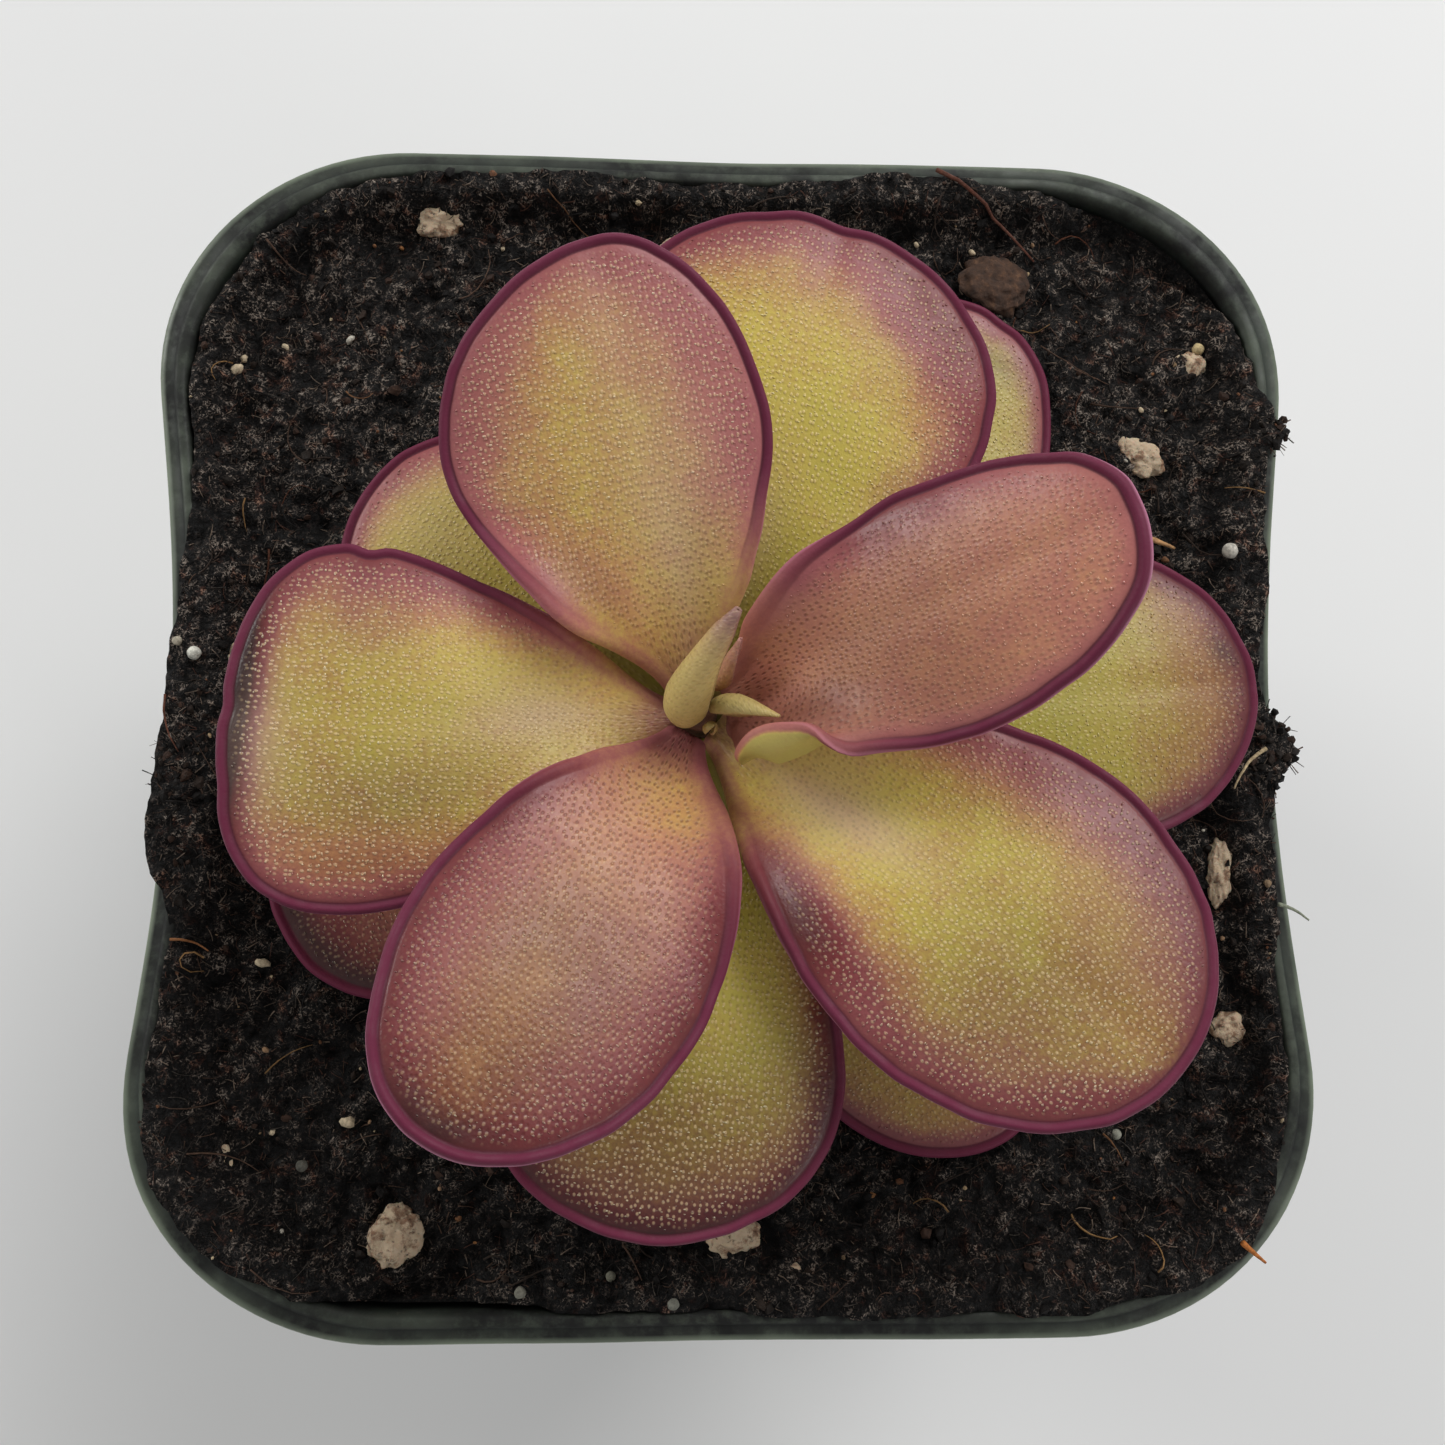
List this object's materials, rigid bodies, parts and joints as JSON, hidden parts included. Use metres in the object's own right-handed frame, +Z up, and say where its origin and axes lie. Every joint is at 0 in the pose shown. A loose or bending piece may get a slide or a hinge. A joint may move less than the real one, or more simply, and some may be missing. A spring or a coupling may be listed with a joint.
{
  "type": "potted butterwort",
  "caption": "Butterwort with a flat rosette of broad sticky leaves, growing in peat mix in a square plastic nursery pot.",
  "frame": {"origin": "centre of the pot's footprint, on the surface it stands on", "axes": "+Z up, +X and +Y square to the pot's sides; -Z is the way the pot's base faces"},
  "size_m": [0.0736, 0.076, 0.0935],
  "materials": {
    "pot": "satin",
    "soil": "matte",
    "stem": "matte",
    "leaf": "glossy",
    "young_leaf": "satin",
    "perlite": "matte",
    "bark": "matte"
  },
  "bodies": {
    "root": {"pot": "pot", "soil": "soil", "crown": "stem", "leaf_01": "leaf", "leaf_02": "leaf", "leaf_03": "leaf", "leaf_04": "leaf", "leaf_05": "leaf", "leaf_06": "leaf", "leaf_07": "leaf", "leaf_08": "leaf", "leaf_09": "leaf", "leaf_10": "leaf", "leaf_11": "leaf", "leaf_12": "leaf", "young_leaf_rolled": "young_leaf", "young_leaf_folded": "young_leaf", "young_leaf_pointed": "young_leaf", "young_leaf_bud": "young_leaf", "perlite_01": "perlite", "perlite_02": "perlite", "perlite_03": "perlite", "perlite_04": "perlite", "perlite_05": "perlite", "perlite_06": "perlite", "perlite_07": "perlite", "perlite_08": "perlite", "perlite_09": "perlite", "perlite_10": "perlite", "perlite_11": "perlite", "perlite_12": "perlite", "bark_lump": "bark"}
  },
  "joints": []
}
